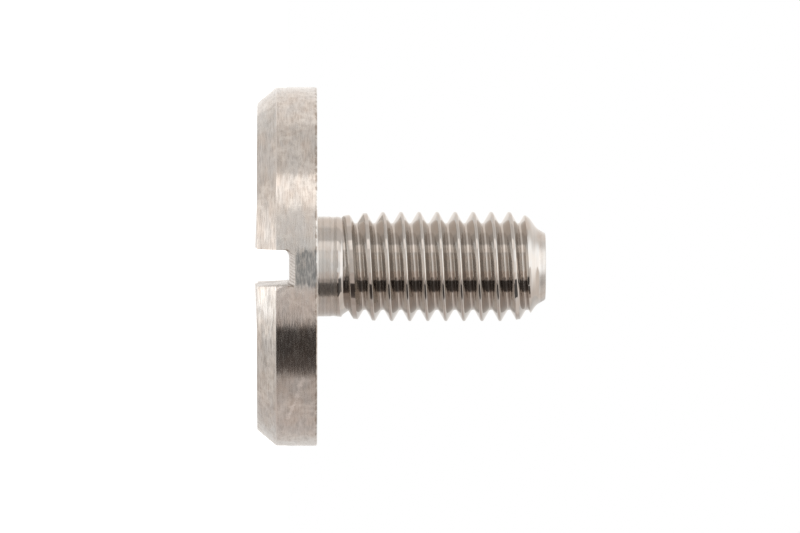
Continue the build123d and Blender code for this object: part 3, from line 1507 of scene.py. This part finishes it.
BACK_LEFT = (
    Cloth(-180.0, 1.1, SOFT),
    Cloth(-150.0, 1.05, CREAM, 26.0),
    Cloth(-104.0, 0.83, CREAM, 8.0),
)
KEY = (Cloth(-62.0, 1.50, CREAM, 4.0), Cloth(-50.0, 1.40, CREAM, 6.0))
HIGH_KEY = (Cloth(-62.0, 1.25, CREAM, 4.0),)
FLAG = (
    Cloth(37.2, 0.060, DARK_WARM, 3.0),
    Cloth(58.0, 0.092, DARK_WARM, 10.0),
    Cloth(68.0, 0.17, DARK_WARM, 8.0),
)
BACK_RIGHT = (
    Cloth(73.6, 0.59, WARM, 2.0),
    Cloth(95.0, 0.70, WARM, 6.0),
    Cloth(140.0, 0.82, SOFT, 40.0),
)

LOW_FRONT = (
    Cloth(-180.0, 0.90, CREAM),
    Cloth(-25.0, 1.4, PINK),
    Cloth(25.0, 0.82, CREAM),
    Cloth(37.2, 0.68, SOFT, 6.0),
    Cloth(73.0, 0.82, CREAM, 6.0),
)
UNDER_LEVEL = (
    Cloth(-180.0, 0.92, SOFT),
    Cloth(-104.0, 0.86, CREAM, 8.0),
    *KEY,
    Cloth(-39.0, 0.84, CREAM),
    Cloth(-20.0, 1.15, PINK),
    Cloth(20.0, 0.70, WARM),
    Cloth(37.2, 0.14, SOFT, 3.0),
    *BACK_RIGHT,
)
LEVEL = (
    *BACK_LEFT,
    *KEY,
    Cloth(-39.0, 0.92, CREAM, 4.0),
    Cloth(-20.0, 0.79, SOFT, 6.0),
    Cloth(12.0, 0.70, WARM),
    *FLAG,
    *BACK_RIGHT,
)
OVER_LEVEL = (
    *BACK_LEFT,
    *HIGH_KEY,
    Cloth(-39.0, 1.4, PLAIN),
    Cloth(-12.5, 1.2, PLAIN, 6.0),
    Cloth(12.0, 1.1, CREAM),
    Cloth(28.0, 0.12, SOFT),
    Cloth(73.0, 0.98, CREAM),
    Cloth(140.0, 0.85, SOFT),
)
HIGH = (
    *BACK_LEFT,
    *HIGH_KEY,
    Cloth(-39.0, 1.6, PLAIN),
    Cloth(28.0, 0.2, CREAM, 12.0),
    Cloth(73.0, 0.9, CREAM),
    Cloth(140.0, 0.8, SOFT),
)
HIGHER = (Cloth(-180.0, 1.05, SOFT), Cloth(-70.0, 1.75, PLAIN, 70.0), Cloth(32.0, 0.9, CREAM, 28.0))
ROOF = (Cloth(-180.0, 1.7, PLAIN), Cloth(-70.0, 1.75, PLAIN, 70.0), Cloth(32.0, 1.0, CREAM, 28.0))

TENT = Tent(
    (
        TentTier(-90.0, (Cloth(-180.0, 1.1, CREAM),)),
        TentTier(-85.0, (Cloth(-180.0, 1.5, CREAM), Cloth(5.0, 1.95, SOFT, 30.0))),
        TentTier(-72.0, (Cloth(-180.0, 1.23, CREAM), Cloth(30.0, 1.38, SOFT, 40.0))),
        TentTier(-66.0, (Cloth(-180.0, 1.0, CREAM),)),
        TentTier(-60.0, LOW_FRONT),
        TentTier(-38.0, UNDER_LEVEL),
        TentTier(-24.0, LEVEL),
        TentTier(15.0, OVER_LEVEL),
        TentTier(34.0, HIGH),
        TentTier(42.0, HIGHER),
        TentTier(58.0, ROOF, fade=20.0, closing=50.0),
    )
)


@dataclass(frozen=True)
class Studio:
    """The plain white studio: floor, world and light tent."""

    floor_height: float
    floor_size: float = 4.0
    daylight: float = 0.9
    floor_glow: float = 0.8

    def build(self) -> None:
        """Builds everything round the screw."""
        self.build_world()
        self.build_floor()
        tent = TENT.build()
        log.info("%s: %d tiers", tent.name, len(TENT.tiers))

    @staticmethod
    def seen(board: NodeBoard) -> NodeSocket:
        """Where a surface is seen, by the camera or through gloss or glass.

        Args:
            board: The board of its material or of the world.

        Returns:
            1 for these rays, and 0 for the ones that only light.
        """
        path = board.node("ShaderNodeLightPath").outputs
        seen = board.math("MAXIMUM", path["Is Camera Ray"], path["Is Glossy Ray"])
        return board.math("MAXIMUM", seen, path["Is Transmission Ray"])

    def build_world(self) -> None:
        """A world that lights plainly and is white behind the object."""
        world = bpy.data.worlds.new("daylight")
        bpy.context.scene.world = world
        world.use_nodes = True
        world.cycles.sampling_method = "NONE"
        board = NodeBoard(world.node_tree)
        light = board.node("ShaderNodeBackground", {"Color": PLAIN, "Strength": self.daylight})
        white = board.node("ShaderNodeBackground", {"Color": PLAIN, "Strength": 1.0})
        inputs = {0: self.seen(board), 1: light.outputs[0], 2: white.outputs[0]}
        mix = board.node("ShaderNodeMixShader", inputs)
        board.node("ShaderNodeOutputWorld", {"Surface": mix.outputs[0]})

    def build_floor(self) -> Object:
        """A plain pale floor under the head, which keeps the screw's shadow.

        Returns:
            The floor, which is see-through from below.
        """
        mesh = bmesh.new()
        bmesh.ops.create_grid(mesh, x_segments=8, y_segments=8, size=self.floor_size / 2)
        bmesh.ops.translate(mesh, verts=mesh.verts, vec=(0.0, 0.0, self.floor_height))
        floor = object_from(mesh, "floor")
        made, board = new_material("pale_floor")
        paint = board.node("ShaderNodeBsdfDiffuse", {"Color": FLOOR_GREY})
        strength = board.times(self.seen(board), self.floor_glow)
        glow = board.node("ShaderNodeEmission", {"Strength": strength})
        both = board.node("ShaderNodeAddShader", {0: paint.outputs[0], 1: glow.outputs[0]})
        below = board.node("ShaderNodeNewGeometry").outputs["Backfacing"]
        nothing = board.node("ShaderNodeBsdfTransparent")
        inputs = {0: below, 1: both.outputs[0], 2: nothing.outputs[0]}
        seen_from_above = board.node("ShaderNodeMixShader", inputs)
        board.node("ShaderNodeOutputMaterial", {"Surface": seen_from_above.outputs[0]})
        floor.data.materials.append(made)
        floor.visible_glossy = False
        floor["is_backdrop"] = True
        return floor


@dataclass(frozen=True)
class ViewPoint:
    """The camera: far off on the -Y side, level with the head and rolled so that the shank lies across."""

    aim_height: float = 3.68 * MM
    distance: float = 465 * MM
    lens: float = 472.0
    sensor: float = 36.0
    azimuth: float = math.radians(-0.90)
    elevation: float = math.radians(-0.58)

    def build(self) -> Object:
        """Builds the camera and makes it the scene's own.

        Returns:
            The camera.
        """
        data = bpy.data.cameras.new("camera")
        data.lens = self.lens
        data.sensor_width = self.sensor
        data.clip_start = 10 * MM
        data.clip_end = 10.0
        camera = bpy.data.objects.new("camera", data)
        bpy.context.scene.collection.objects.link(camera)
        level = math.cos(self.elevation)
        across = level * math.sin(self.azimuth)
        back = Vector((across, -level * math.cos(self.azimuth), math.sin(self.elevation)))
        right = (Vector(UP) - back * back.z).normalized()
        up = back.cross(right)
        turn = Matrix((right, up, back)).transposed().to_4x4()
        aim = Vector((0.0, 0.0, self.aim_height))
        camera.matrix_world = Matrix.Translation(aim + back * self.distance) @ turn
        bpy.context.scene.camera = camera
        return camera


# -------------------- the scene


def build_screw() -> Object:
    """Builds the screw to the frame's size and ties it to the frame.

    Returns:
        The dressed screw.
    """
    low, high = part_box(CAD_NODE)
    head = Head(radius=(high.x - low.x) / 2)
    shank = Shank(length=high.z, thread=Thread())
    slot = DriverSlot(face_height=-head.thickness, sweep=1.2 * head.radius)
    screw = Screw(head, shank, slot).build(screw_materials(HeadWearAndPaintedLight(head, slot)))
    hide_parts(CAD_NODE)
    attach(screw, BODY)
    triangles = sum(len(face.vertices) - 2 for face in screw.data.polygons)
    log.info("%s: %d triangles, %d surfaces", screw.name, triangles, len(screw.data.materials))
    return screw


def main() -> None:
    """Builds the screw, the studio and the camera."""
    logging.basicConfig(level=logging.INFO, format="%(name)s: %(message)s")
    cad_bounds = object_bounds()
    build_screw()
    Studio(floor_height=cad_bounds[0].z).build()
    ViewPoint().build()
    bpy.context.scene.view_settings.view_transform = "Standard"


if __name__ == "__main__":
    main()
